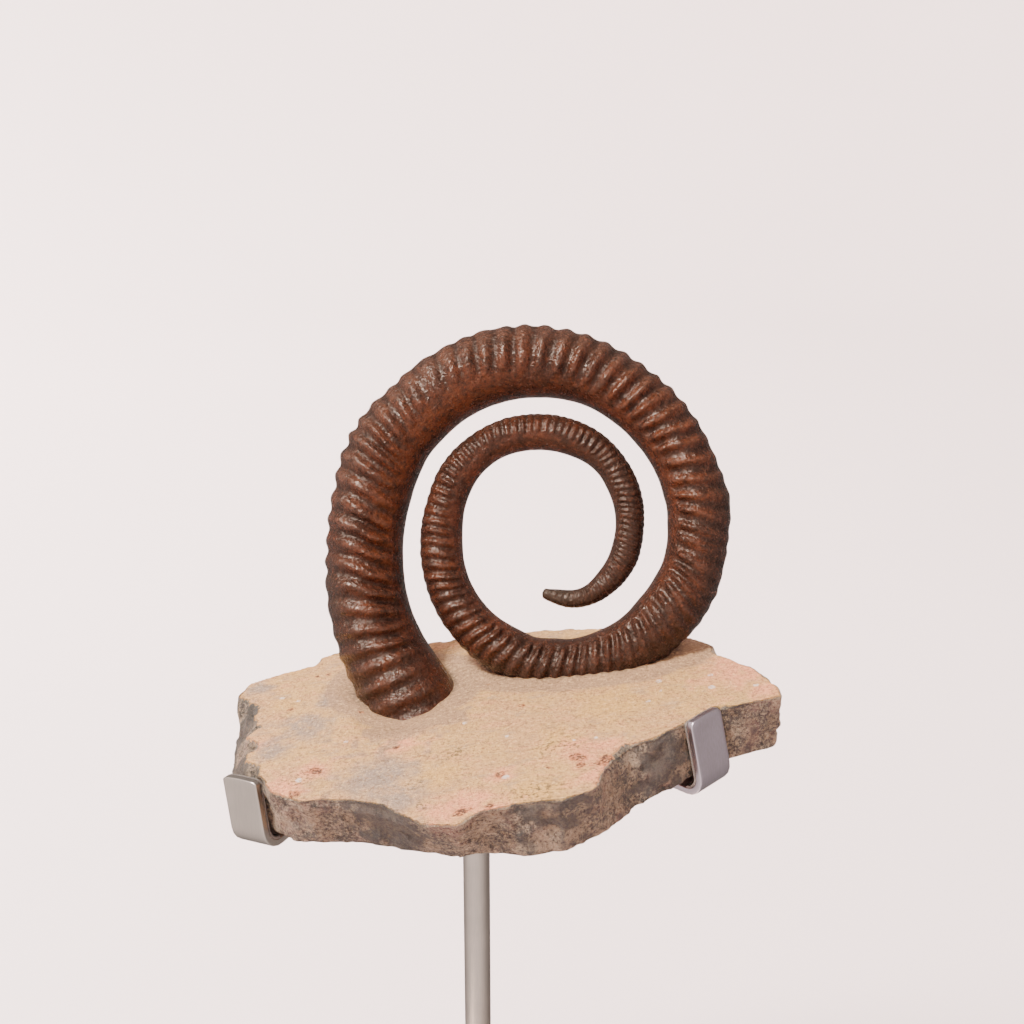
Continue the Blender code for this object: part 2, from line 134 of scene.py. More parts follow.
# Turn, and how far in mm the worn outer and inner outlines stand off the plain tube
WEAR_STATIONS = (
    (-20, 0, -5.5), (-8, -0.3, -4.5), (0, -0.5, -3.0), (8, -0.6, -1.2), (20, -0.9, 0.1),
    (30, -1.3, 0), (40, -2.0, -0.1), (50, -1.4, -0.1), (60, -0.4, -0.1), (70, 1.3, 0),
    (80, 1.1, -0.1), (90, -0.7, -0.2), (100, -0.1, -0.2), (120, 0.2, -0.1), (130, 0.2, -0.1),
    (140, 0.1, -0.1), (150, 0, -0.1), (170, -0.2, -0.3), (180, 0.3, -0.2), (190, 0, -0.3),
    (200, -0.5, -0.3), (210, -0.6, -0.3), (220, 0.8, -0.4), (230, 0, -0.6), (240, -0.1, -0.1),
    (250, 0.8, -0.1), (260, 0.8, -0.8), (270, 0, -0.9), (280, 0.4, -0.3), (300, 0, 0.3),
    (312, 0, 0.7), (320, 0, 0.2), (330, 0, 0.7), (340, 0, -0.2), (360, -0.5, -0.2),
    (380, 0.3, 0.1), (390, 0.5, 0), (400, 0.3, -0.3), (420, 0, -0.1), (440, 0.3, 0),
    (450, 0, 0), (475, 0.3, 0), (490, -0.1, -0.2), (510, -0.1, -0.2), (530, 0.4, 0),
    (545, 0.1, -0.1), (560, 0.2, -0.5), (575, 0, -0.3), (590, -0.2, 0), (610, 0.7, 0),
    (630, 0.35, -0.1), (650, 0.5, 0.5), (665, 0.7, 0.1), (685, -0.3, -0.4),
)

# Slab
SLAB_SIDE = 25 * MM
SLAB_THICKNESS = 30.5 * MM
UNDERSIDE_MIDDLE = (0.0, -5 * MM)
UNDERSIDE_SHARE = 0.8
EDGE_STEP = 0.95 * MM
TOP_STEP = 1.05 * MM
SIDE_ROWS = 26
RIM_ROWS = 7
UNDERSIDE_STEP = 4 * MM
MOAT_WIDTH = 9 * MM
MOAT_DEPTH = 1.5 * MM
FOOT_DIP = (396, 714)  # pixel
FOOT_DIP_RADIUS = 22 * MM
FOOT_DIP_DEPTH = 3.0 * MM
FILL_WIDTH = 9 * MM
FILL_HEIGHT = 1.6 * MM
FILLER_EDGE = (12 * MM, 15 * MM)  # distances from the coil over which the filler fades
# distances from the coil over which the painted contact shadow on the stone fades
CONTACT_SHADE_EDGE = (0.5 * MM, 4 * MM)
RAGGED_EDGE = 1.0 * MM
TOP_WAVES = 0.45 * MM
TOP_BUMPS = 0.16 * MM
TOP_GRAIN = 0.10 * MM
SIDE_WAVES = 1.5 * MM
SIDE_BUMPS = 1.5 * MM
SIDE_PITS = 1.6 * MM
RIM_BUMPS = 0.5 * MM
FRAYED_FILLER = 3 * MM
EDGE_WEAR = 1.7 * MM
LOWEST_BREAK = 0.8  # of the side's height
HIGHEST_TOP = 0.6 * MM
FOOT_STRETCH = (-8, 40)  # turns of the coil where its foot meets the slab
CURVE_STRETCH = (255, 365)  # and where the next whorl does
INSET_DIRECTION_SMOOTHING = 150  # rounds; keeps the inset points of a corner from crossing
INSET_SMOOTHING = 8
RIM_SMOOTHING = 20
# Points of the slab's top edge, and how far in from it the side's foot is, in mm
SLAB_OUTLINE = (
    (-108, 56, 8), (-98, 61, 8), (-81, 68, 8), (-78, 75, 8), (-67, 79, 7),
    (-40, 78, 6), (-5, 76.5, 3), (25, 77, 3), (40, 75, 6), (58, 70, 8),
    (78, 60, 8), (98, 49, 8), (108, 38, 7), (110, 27, 6), (122, 10, 4),
    (129, -8, 2), (129.5, -17, 7.5), (120, -21, 5), (107, -22.5, 3), (100.5, -20.6, 1),
    (86.5, -32.6, 0), (72, -42, -1), (62, -44, -5), (56, -54, -3), (51, -65, 1),
    (48, -76, 8), (34, -80, 4), (19, -80, 4), (4, -82, 14), (-5, -90.5, 22),
    (-19, -86, 20), (-36, -68, 8), (-52, -61, 8), (-69, -59, 9), (-82, -49.5, 7),
    (-87.5, -36.2, 0), (-102, -27, 4), (-105, -19, 1), (-103, -4, -5), (-107, 19, -8.2),
    (-112, 38, -1),
)

# Pixel on the slab's top edge, radius of the broken stretch, its width and its drop in mm
BREAKS = (
    (242, 718, 24, 8.5, 9.0),
    (236, 752, 15, 8.5, 9.0),
    (240, 771, 11, 8.0, 8.0),
    (264, 803, 7, 2.5, 3.0),
    (632, 752, 9, 2.5, 2.0),
    (312, 662, 6, 2.5, 2.5),
    (722, 650, 7, 2.5, 2.5),
)
# Pixel on the slab's top plane, and radius in mm
STAINS = {
    "rust": (
        (314, 772, 3.6), (294, 796, 3.6), (500, 774, 3.2), (575, 758, 4), (581, 765, 3), (607, 757, 3.6),
        (624, 761, 3.2), (600, 763, 2.2), (592, 765, 1.8), (461, 813, 3.6), (489, 806, 2.2),
        (290, 710, 1.9), (317, 676, 1.6), (329, 674, 1.4), (361, 711, 1.7), (396, 748, 1.8), (737, 711, 3.2),
        (548, 768, 1.8), (521, 706, 1.4),
    ),
    "crystal": (
        (659, 681, 2.0), (710, 675, 2.0), (712, 687, 2.2), (756, 685, 2.3), (661, 691, 1.4), (596, 737, 1.8),
        (574, 740, 1.7), (507, 736, 1.6), (648, 701, 1.3), (506, 777, 2.1), (299, 781, 2.2), (282, 698, 1.9),
        (298, 701, 1.4), (465, 723, 1.8), (346, 742, 1.5),
    ),
    "grey": ((380, 778, 25), (400, 798, 14), (307, 727, 18), (274, 751, 12), (261, 689, 10), (327, 702, 11)),
    "pink": (
        (400, 744, 13), (249, 747, 9), (279, 789, 15), (314, 771, 11), (450, 812, 16), (490, 815, 16),
        (470, 800, 14), (740, 670, 26), (583, 750, 18), (602, 773, 13), (763, 690, 11), (500, 775, 9),
    ),
    "yellow": (
        (611, 703, 22), (533, 792, 15), (440, 775, 15), (561, 742, 17), (290, 705, 11), (300, 665, 12),
    ),
    "specks": ((458, 751, 10), (411, 785, 6), (421, 805, 5), (533, 792, 13), (299, 780, 9), (555, 745, 12)),
    "filler": ((395, 728, 20), (450, 716, 13)),
    "dark": ((375, 812, 24), (570, 822, 27), (675, 745, 20), (745, 712, 9), (246, 715, 15), (240, 760, 10)),
    "blush": ((630, 785, 18), (443, 830, 13), (768, 712, 15), (310, 815, 14)),
}

# Stand
STRIP_WIDTH = 18 * MM
STRIP_THICKNESS = 3 * MM
STRIP_BEND = 8 * MM
LINER_THICKNESS = 1.0 * MM
GAP = 0.3 * MM
STRIP_BOW = 0.5 * MM  # how much lower a strip's corners are than the middle of its end
STRIP_BEVEL = 0.4 * MM
LINER_SHORTER = 0.4 * MM
LINER_CORNER = 1.5 * MM
LINER_BOW = 0.3 * MM
LINER_BEVEL = 0.2 * MM
# Place on the slab's edge, azimuth, height and lean of the prong's tip, length of the arm, tip's corners
CLAMPS = {
    "front_left": ((-97.5 * MM, -35.0 * MM), -120.5, 0.0, 3.0, 62 * MM, 0.8 * MM),
    "front_right": ((96.1 * MM, -29.4 * MM), -49.0, 1.5 * MM, 6.0, 62 * MM, 1.8 * MM),
    "back": ((10.0 * MM, 80.4 * MM), 90.0, -4.0 * MM, 0.0, 92 * MM, 1.8 * MM),
}


# ---------------------------------------------------------------- numbers

def read_between(stations, at):
    """Values at given positions on a smooth curve through the stations, whose first column is position."""
    table = np.array(stations, float)
    position, values = table[:, 0], table[:, 1:]
    slopes = np.gradient(values, position, axis=0)
    at = np.clip(np.asarray(at, float), position[0], position[-1])
    i = np.clip(np.searchsorted(position, at) - 1, 0, len(position) - 2)
    span = (position[i + 1] - position[i])[:, None]
    t = ((at - position[i])[:, None]) / span
    start = values[i] * (1 + 2 * t) * (1 - t) ** 2 + slopes[i] * span * t * (1 - t) ** 2
    end = values[i + 1] * t**2 * (3 - 2 * t) + slopes[i + 1] * span * t**2 * (t - 1)
    return start + end


def smooth(value, low, high):
    t = np.clip((value - low) / (high - low), 0, 1)
    return t * t * (3 - 2 * t)


def lattice(cells, seed):
    """A repeatable number from -1 to 1 for each whole-numbered cell."""
    x, y, z = (cells[..., k].astype(np.int64) for k in range(3))
    h = (x * 73856093) ^ (y * 19349663) ^ (z * 83492791) ^ (seed * 2654435761)
    h = (h ^ (h >> 13)) * 1274126177
    h = (h ^ (h >> 16)) & 0xFFFFFF
    return h / 8388607.5 - 1.0


def value_noise(points, size, seed):
    """Smooth noise from -1 to 1 with features of the given size."""
    scaled = points / size + 31.7 * seed
    cell = np.floor(scaled)
    t = scaled - cell
    t = t * t * (3 - 2 * t)
    total = np.zeros(len(points))
    for dx in (0, 1):
        for dy in (0, 1):
            for dz in (0, 1):
                weight = (
                    np.where(dx, t[:, 0], 1 - t[:, 0])
                    * np.where(dy, t[:, 1], 1 - t[:, 1])
                    * np.where(dz, t[:, 2], 1 - t[:, 2])
                )
                total += weight * lattice(cell + (dx, dy, dz), seed)
    return total


def fractal(points, size, octaves, seed):
    total = np.zeros(len(points))
    weight, whole = 1.0, 0.0
    for octave in range(octaves):
        total += weight * value_noise(points, size / 2**octave, seed + octave)
        whole += weight
        weight *= 0.55
    return total / whole


def on_slab(px, py):
    """The point of the slab's top plane, in the slab's frame, that the camera sees at a pixel."""
    ray = Vector((px - IMAGE_SIDE / 2, FOCAL_PIXELS, IMAGE_SIDE / 2 - py))
    ray.rotate(Euler((-CAMERA_PITCH, 0, 0)))
    inverse = SLAB_FRAME.inverted()
    start = inverse @ CAMERA_PLACE
    ahead = inverse.to_3x3() @ ray
    hit = start - ahead * (start.z / ahead.z)
    return np.array((hit.x, hit.y))


# ---------------------------------------------------------------- meshes

def new_piece(name, mesh, material, slot, *nodes):
    piece = bpy.data.objects.new(name, mesh)
    bpy.context.scene.collection.objects.link(piece)
    mesh.materials.clear()
    mesh.materials.append(material)
    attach(piece, "root")
    if nodes:
        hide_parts(*nodes)
    return piece


def mesh_of(name, points, faces):
    mesh = bpy.data.meshes.new(name)
    mesh.from_pydata([tuple(p) for p in points], [], faces)
    mesh.validate()
    mesh.shade_smooth()
    return mesh


def add_attribute(mesh, name, values):
    attribute = mesh.attributes.new(name, "FLOAT", "POINT")
    attribute.data.foreach_set("value", np.asarray(values, np.float32))


def transform(points, matrix):
    m = np.array(matrix)
    return points @ m[:3, :3].T + m[:3, 3]


# ---------------------------------------------------------------- the coil

def coil_sizes(turns):
    """Distance of the tube's middle from the coil's centre, and half the tube's width, at each turn."""
    radius, width = read_between(COIL_STATIONS, turns).T
    outer, inner = read_between(WEAR_STATIONS, turns).T
    return (radius + (outer + inner) / 2) * MM, (width + outer - inner) / 2 * MM


def coil_centres(turns):
    radius, _ = coil_sizes(turns)
    angle = np.radians(FOOT_ANGLE - turns)
    return np.stack([radius * np.cos(angle), radius * np.sin(angle)], axis=1)


def coil_axes(turns):
    """Centre, direction toward the tip and outward direction at each turn, in the coil's plane."""
    centre = coil_centres(turns)
    along = coil_centres(turns + 1.5) - coil_centres(turns - 1.5)
    along /= np.linalg.norm(along, axis=1)[:, None]
    outward = np.stack([-along[:, 1], along[:, 0]], axis=1)
    return centre, along, outward * np.sign((outward * centre).sum(axis=1))[:, None]


def ring_turns():
    """The turn of each ring, closer together where the coil is wide."""
    fine = np.linspace(FIRST_TURN, LAST_TURN, 4000)
    run = np.cumsum(coil_sizes(fine)[0] ** RING_CROWDING)
    return np.interp(np.linspace(run[0], run[-1], RINGS), run, fine)


def between(value, rise_from, rise_to, fall_from, fall_to):
    """1 inside a range and 0 outside it, with soft ends."""
    return smooth(value, rise_from, rise_to) * (1 - smooth(value, fall_from, fall_to))


def coil_surface():
    """The shell's points in the coil's frame, and what its colours follow.

    Ranges of turn are in degrees, and share runs from 0 on the inner side to 1 on the outer one.
    """
    turns = ring_turns()
    around = np.arange(RING_SIDES) * 2 * math.pi / RING_SIDES
    turn, angle = (g.ravel() for g in np.meshgrid(turns, around, indexing="ij"))
    ring = np.repeat(np.arange(RINGS), RING_SIDES)
    centre, along, outward = coil_axes(turns)
    half = coil_sizes(turns)[1] * np.sqrt(np.clip((LAST_TURN - turns) / TIP_ROUNDING, 0.02, 1))
    low, flank, edge, band, slant, narrow = read_between(RIB_STATIONS, turn).T
    half_here = half[ring]
    share = (1 - np.cos(angle)) / 2

    def place(reach):
        offset = -np.cos(angle) * reach
        bow = np.sin(math.pi / 2 * np.clip(offset / half_here, -1, 1)) * 2 / math.pi
        lag = np.tan(np.radians(slant)) * half_here * bow
        flat = centre[ring] + outward[ring] * offset[:, None] + along[ring] * lag[:, None]
        flattening = FLATTENING - BACK_FLATTENING * np.clip(np.sin(angle), 0, 1)
        return np.stack([flat[:, 0], np.sin(angle) * reach * flattening, flat[:, 1]], axis=1)

    plain = place(half_here)
    scale = (half_here / FULL_LUMPS_WIDTH) ** 0.6
    phase = np.interp(turn, RIB_CRESTS, np.arange(len(RIB_CRESTS)))
    phase = phase + RIB_WANDER * value_noise(plain, 6 * MM, 3)
    wave = (0.5 + 0.5 * np.cos(2 * math.pi * phase)) ** narrow
    ribs = 2 * wave - 1
    height = low + (flank - low) * smooth(share, 0.25, 0.5)
    height = height + (edge - height) * smooth(share, 0.7, 0.98)
    gain = RIB_GAIN - RIB_GAIN_DROP * smooth(share, 0.75, 0.98)
    height = gain * height * (1 + RIB_UNEVENNESS * value_noise(plain, 8 * MM, 5)) * MM
    shown = smooth(share, band - 0.06, band + 0.10)
    step = STEP_HEIGHT * (between(turn, 70, 85, 125, 140) + 0.7 * between(turn, 415, 425, 500, 530))
    lumps = LUMP_HEIGHT * scale * fractal(plain, 5.0 * MM, 3, 11) * (0.45 + 0.55 * shown)
    rough = between(turn, 75, 85, 120, 135) + between(turn, 412, 425, 470, 490)
    lumps += WRINKLE_HEIGHT * scale * rough * shown * np.abs(value_noise(plain, 3.2 * MM, 19)) * (1 - share)
    swell = SWELL_HEIGHT * scale * value_noise(plain, 17 * MM, 17)
    reach = half_here + height * ribs * shown + lumps + swell - step * (1 - shown)
    crest = wave * shown
    return place(reach), {
        "rib": ribs * shown,
        "turn": turn / LAST_TURN,
        # paler matte tone on the upward-facing outer edge of the top whorl: partly the shell's own tone,
        # partly painted top light
        "pale": smooth(share, 0.58, 0.85) * between(turn, 42, 60, 165, 200),
        # darker outer side of the foot and of the right and lower limbs: partly the shell's own grey-brown,
        # partly painted shade where the tube faces down and away from the key light
        "outer_grey_and_shade": smooth(share, 0.55, 0.85)
        * np.maximum(between(turn, -30, -20, 32, 48), between(turn, 190, 225, 330, 350)),
        "rusty": np.maximum(
            between(share, 0.06, 0.13, 0.3, 0.45) * between(turn, 30, 48, 112, 128),
            crest * between(turn, 155, 170, 215, 235) * smooth(share, 0.2, 0.35),
        ),
        # darker on the inner whorls, and more weakly on the lower stretch of the outer whorl
        "darker_turns": np.maximum(smooth(turn, 470, 560), 0.6 * between(turn, 240, 275, 330, 350)),
        "tip": smooth(turn, 640, 675),
    }


def make_coil(material):
    points, masks = coil_surface()
    faces = []
    for i in range(RINGS - 1):
        base = i * RING_SIDES
        for k in range(RING_SIDES):
            n = (k + 1) % RING_SIDES
            faces.append((base + k, base + RING_SIDES + k, base + RING_SIDES + n, base + n))
    faces.append(tuple(range(RING_SIDES)))
    faces.append(tuple((RINGS - 1) * RING_SIDES + k for k in reversed(range(RING_SIDES))))
    mesh = mesh_of("ammonite_shell", transform(points, COIL_FRAME), faces)
    for name, values in masks.items():
        add_attribute(mesh, name, values)
    trim_foot(mesh)
    return new_piece("ammonite_shell", mesh, material, "fossil_shell", "ammonite")


def trim_foot(mesh):
    """Cuts the thick end flat, parallel to the slab's top."""
    bm = bmesh.new()
    bm.from_mesh(mesh)
    turn = bm.verts.layers.float["turn"]
    near = [f for f in bm.faces if f.verts[0][turn] * LAST_TURN < TRIM_LAST_TURN]
    near_edges = dict.fromkeys(e for f in near for e in f.edges)  # a set's order changes from run to run
    near_verts = dict.fromkeys(v for f in near for v in f.verts)
    level = SLAB_FRAME @ Vector((0, 0, -FOOT_DEPTH))
    up = SLAB_FRAME.to_3x3() @ Vector((0, 0, 1))
    cut = bmesh.ops.bisect_plane(
        bm, geom=[*near, *near_edges, *near_verts], plane_co=level, plane_no=-up, clear_outer=True
    )
    rim = [e for e in cut["geom_cut"] if isinstance(e, bmesh.types.BMEdge) and e.is_boundary]
    bmesh.ops.holes_fill(bm, edges=rim)
    bmesh.ops.recalc_face_normals(bm, faces=bm.faces)
    bm.to_mesh(mesh)
    bm.free()


# ---------------------------------------------------------------- the slab

def smooth_loop(points, rounds):
    """A closed line of points, each pulled toward its neighbours some number of times."""
    for _ in range(rounds):
        points = (np.roll(points, 1, axis=0) + 2 * points + np.roll(points, -1, axis=0)) / 4
    return points


def slab_edge():
    """Points along the top edge at even steps, each with its inset lower down and outward direction."""
    corners = np.array(SLAB_OUTLINE, float) * MM
    filled = []
    for a, b in zip(corners, np.roll(corners, -1, axis=0)):
        steps = max(1, round(np.linalg.norm((b - a)[:2]) / EDGE_STEP))
        filled += [a + (b - a) * k / steps for k in range(steps)]
    filled = np.array(filled)
    filled = smooth_loop(filled, 3)
    run = np.roll(filled, -3, axis=0)[:, :2] - np.roll(filled, 3, axis=0)[:, :2]
    outward = np.stack([-run[:, 1], run[:, 0]], axis=1)
    outward /= np.linalg.norm(outward, axis=1)[:, None]
    flat = np.column_stack([filled[:, :2], np.zeros(len(filled))])
    ragged = RAGGED_EDGE * fractal(flat, 8 * MM, 4, 41)
    filled[:, :2] += outward * ragged[:, None]
    return filled, outward


def distance_to(points, others, chunk=2000):
    """Distance from each point to the nearest of the others."""
    best = []
    for start in range(0, len(points), chunk):
        part = points[start : start + chunk]
        d = np.linalg.norm(part[:, None, :] - others[None, :, :], axis=2)
        best.append(d.min(axis=1))
    return np.concatenate(best)


def distance_to_coil(flat, first_turn, last_turn):
    """How far points of the slab's top are from a stretch of the coil."""
    turns = np.arange(first_turn, last_turn, 2.0)
    centre = coil_centres(turns)
    body = np.stack([centre[:, 0], np.zeros(len(turns)), centre[:, 1]], axis=1)
    body = transform(body, SLAB_FRAME.inverted() @ COIL_FRAME)
    points = np.column_stack([flat, np.zeros(len(flat))])
    best = np.full(len(points), 1.0)
    for middle, reach in zip(body, coil_sizes(turns)[1]):
        best = np.minimum(best, np.linalg.norm(points - middle, axis=1) - reach)
    return best


def inside_grid(edge, step, margin):
    """Points of a staggered grid inside an outline, kept off its edge."""
    low, high = edge.min(axis=0), edge.max(axis=0)
    rows = np.arange(low[1], high[1], step * 0.87)
    columns = np.arange(low[0], high[0], step)
    x, y = np.meshgrid(columns, rows)
    x = x + (np.arange(len(rows)) % 2)[:, None] * step / 2
    points = np.column_stack([x.ravel(), y.ravel()])
    inside = np.zeros(len(points), bool)
    for a, b in zip(edge, np.roll(edge, -1, axis=0)):
        crosses = (a[1] > points[:, 1]) != (b[1] > points[:, 1])
        if a[1] == b[1]:
            continue
        at = a[0] + (points[:, 1] - a[1]) * (b[0] - a[0]) / (b[1] - a[1])
        inside ^= crosses & (points[:, 0] < at)
    points = points[inside]
    away = distance_to(points, edge)
    return points[away > margin]


def fill_outline(edge, step):
    """Triangles over an outline and a grid inside it. The outline's points come first."""
    inner = inside_grid(edge, step, step * 0.6)
    points = [Vector(p) for p in edge] + [Vector(p) for p in inner]
    loop = [(i, (i + 1) % len(edge)) for i in range(len(edge))]
    made = geometry.delaunay_2d_cdt(points, loop, [], 1, 1e-7)
    if len(made[0]) != len(points):
        raise ValueError("the outline crosses itself")
    return np.array([tuple(p) for p in made[0]]), [tuple(f) for f in made[2]]


def slab_heights(flat, level, from_edge, to_foot, to_curve):
    """Heights of the slab's top, and how far each point lies in broken stone."""
    z = TOP_WAVES * fractal(level, 45 * MM, 2, 51) + TOP_BUMPS * fractal(level, 9 * MM, 3, 53)
    z += TOP_GRAIN * fractal(level, 2.4 * MM, 2, 57)
    uneven = 1 + 0.3 * value_noise(level, 8 * MM, 59)
    dip = 1 - smooth(np.linalg.norm(flat - on_slab(*FOOT_DIP), axis=1), 6 * MM, FOOT_DIP_RADIUS)
    z -= (MOAT_DEPTH * (1 - smooth(to_foot, 0, MOAT_WIDTH)) + FOOT_DIP_DEPTH * dip) * uneven
    z += FILL_HEIGHT * (1 - smooth(to_curve, 0, FILL_WIDTH)) * uneven
    edge_wear = EDGE_WEAR * np.clip(0.3 + fractal(level, 6 * MM, 3, 61), 0, None)
    broken = 1 - smooth(from_edge, 0, 1e-6 + edge_wear)
    z -= edge_wear * broken
    for px, py, radius, width, drop in BREAKS:
        away = np.linalg.norm(flat - on_slab(px, py), axis=1)
        reach = width * MM * (1 - smooth(away, 0.6 * radius * MM, radius * MM))
        reach *= 1 + 0.5 * fractal(level, 5 * MM, 3, 67)
        fall = np.clip(1 - from_edge / np.maximum(reach, 1e-6), 0, 1)
        z -= drop * MM * fall * (reach / (width * MM)) * (1 + 0.35 * fractal(level, 4 * MM, 3, 63))
        broken = np.maximum(broken, smooth(fall, 0.0, 0.12))
    return np.clip(z, -LOWEST_BREAK * SLAB_SIDE, HIGHEST_TOP), broken


def slab_sides(edge, outward, top_row):
    """Rows of points down the rough side, then in under the slab along its rim."""
    rows = [top_row]
    foot = edge[:, :2] - smooth_loop(outward, INSET_DIRECTION_SMOOTHING) * edge[:, 2:]
    foot = smooth_loop(foot, INSET_SMOOTHING)
    for share in np.linspace(0, 1, SIDE_ROWS)[1:]:
        place = edge[:, :2] + (foot - edge[:, :2]) * share
        depth = top_row[:, 2] + (-SLAB_SIDE - top_row[:, 2]) * share
        row = np.column_stack([place, depth])
        rough = fractal(row, 13 * MM, 2, 71) * SIDE_WAVES + fractal(row, 4.5 * MM, 3, 73) * SIDE_BUMPS
        rough += (0.4 - np.abs(value_noise(row, 8 * MM, 79))) * SIDE_PITS
        row[:, :2] += outward * (rough * min(1, share * 6))[:, None]
        rows.append(row)
    middle = np.array(UNDERSIDE_MIDDLE)
    plain_foot = smooth_loop(foot, RIM_SMOOTHING)
    rough_foot = rows[-1]
    for k in range(1, RIM_ROWS + 1):
        share = k / RIM_ROWS
        row = rough_foot.copy()
        shrink = 1 - (1 - UNDERSIDE_SHARE) * share
        kept = rough_foot[:, :2] + (plain_foot - rough_foot[:, :2]) * share
        row[:, :2] = middle + (kept - middle) * shrink
        row[:, 2] = -SLAB_SIDE - (SLAB_THICKNESS - SLAB_SIDE) * share
        row[:, 2] += RIM_BUMPS * fractal(row, 9 * MM, 3, 83) * (share < 1)
        rows.append(row)
    return rows


def closed_slab(top, top_faces, rows):
    """Points and faces of the closed slab: its top, its sides and its flat underside."""
    count = len(rows[0])
    under_flat, under_faces = fill_outline(rows[-1][:, :2], UNDERSIDE_STEP)
    points = [top]
    faces = [f if is_up(top, f) else f[::-1] for f in top_faces]
    base = len(top)
    previous = np.arange(count)
    for row in rows[1:]:
        here = base + np.arange(count)
        for i in range(count):
            j = (i + 1) % count
            faces.append((previous[j], previous[i], here[i], here[j]))
        points.append(row)
        base += count
        previous = here
    inner = under_flat[count:]
    points.append(np.column_stack([inner, np.full(len(inner), -SLAB_THICKNESS)]))
    index = np.concatenate([previous, base + np.arange(len(inner))])
    for f in under_faces:
        f = f[::-1] if is_up(under_flat, f) else f
        faces.append(tuple(int(index[k]) for k in f))
    return np.concatenate(points), [tuple(map(int, f)) for f in faces]


def make_slab(material):
    """The slab, with the attributes that its material paints by."""
    edge, outward = slab_edge()
    flat, top_faces = fill_outline(edge[:, :2], TOP_STEP)
    level = np.column_stack([flat, np.zeros(len(flat))])
    from_edge = distance_to(flat, edge[:, :2])
    to_foot = distance_to_coil(flat, *FOOT_STRETCH)
    to_curve = distance_to_coil(flat, *CURVE_STRETCH)
    z, broken = slab_heights(flat, level, from_edge, to_foot, to_curve)
    top = np.column_stack([flat, z])
    points, faces = closed_slab(top, top_faces, slab_sides(edge, outward, top[: len(edge)]))

    side = np.ones(len(points))
    side[: len(top)] = smooth(broken, 0.05, 0.35)
    frayed = FRAYED_FILLER * fractal(level, 9 * MM, 3, 87)
    to_coil = np.minimum(to_foot, to_curve)
    sand = np.zeros(len(points))
    sand[: len(top)] = 1 - smooth(to_coil + frayed, *FILLER_EDGE)
    # painted contact shadow on the stone close around the coil
    contact_shade = np.zeros(len(points))
    contact_shade[: len(top)] = 1 - smooth(to_coil + 0.5 * frayed, *CONTACT_SHADE_EDGE)
    mesh = mesh_of("limestone_slab", transform(points, SLAB_FRAME), faces)
    add_attribute(mesh, "side", side)
    add_attribute(mesh, "sand", sand)
    add_attribute(mesh, "contact_shade", contact_shade)
    for name, spots in STAINS.items():
        add_attribute(mesh, name, stain(points, spots))
    return new_piece("limestone_slab", mesh, material, "matrix_stone", "matrix_slab")


def is_up(flat, face):
    a, b, c = (flat[k] for k in face[:3])
    return (b[0] - a[0]) * (c[1] - a[1]) - (b[1] - a[1]) * (c[0] - a[0]) > 0


def stain(points, spots):
    """How strongly any of the spots colours a point, from 0 to 1."""
    total = np.zeros(len(points))
    uneven = 1 + 0.6 * value_noise(points, 4 * MM, 91)
    for px, py, radius in spots:
        away = np.linalg.norm(points[:, :2] - on_slab(px, py), axis=1) * uneven
        total = np.maximum(total, 1 - smooth(away, 0.2 * radius * MM, radius * MM))
    return total


# ---------------------------------------------------------------- the stand

def strip_path(rise, lean, arm_length, bend_steps=18):
    """Middle line of a clamp strip seen from its side: x outward from the prong's outer face, y up."""
    half = STRIP_THICKNESS / 2
    arm_height = -SLAB_THICKNESS - GAP - half
    up = math.radians(90 + lean)
    foot_x = -half + (rise - arm_height) * math.tan(math.radians(lean))
    reach = foot_x - STRIP_BEND * math.tan(up / 2)
    points = [(-arm_length, arm_height)]
    for k in range(bend_steps + 1):
        a = up * k / bend_steps
        points.append((reach + math.sin(a) * STRIP_BEND, arm_height + STRIP_BEND - math.cos(a) * STRIP_BEND))
    points.append((-half, rise))
    return np.array(points)


def bent_strip(path, width, side, corner, bow, rows=34, columns=12):
    """A sheet with rounded corners at its free end, laid along a path at some distance from it."""
    lengths = np.concatenate([[0], np.cumsum(np.linalg.norm(np.diff(path, axis=0), axis=1))])
    across = np.linspace(-1, 1, columns + 1) * width / 2
    near_corner = np.clip(np.abs(across) - (width / 2 - corner), 0, corner)
    across = np.sign(across) * np.where(near_corner > 0, width / 2 - corner + near_corner, np.abs(across))
    cut = corner - np.sqrt(np.clip(corner**2 - near_corner**2, 0, None))
    cut = cut + bow * (2 * across / width) ** 2
    points = []
    for row in range(rows + 1):
        share = row / rows
        length = share * lengths[-1] - cut * smooth(np.array(share), 0.7, 1.0)
        x = np.interp(length, lengths, path[:, 0])
        y = np.interp(length, lengths, path[:, 1])
        before = np.stack([np.interp(length - 0.4 * MM, lengths, path[:, k]) for k in (0, 1)])
        after = np.stack([np.interp(length + 0.4 * MM, lengths, path[:, k]) for k in (0, 1)])
        run = (after - before) / np.linalg.norm(after - before, axis=0)
        x = x - run[1] * side
        y = y + run[0] * side
        points += list(np.stack([x, y, across], axis=1))
    n = columns + 1
    faces = [
        (r * n + c, r * n + c + 1, (r + 1) * n + c + 1, (r + 1) * n + c)
        for r in range(rows)
        for c in range(columns)
    ]
    return np.array(points), faces


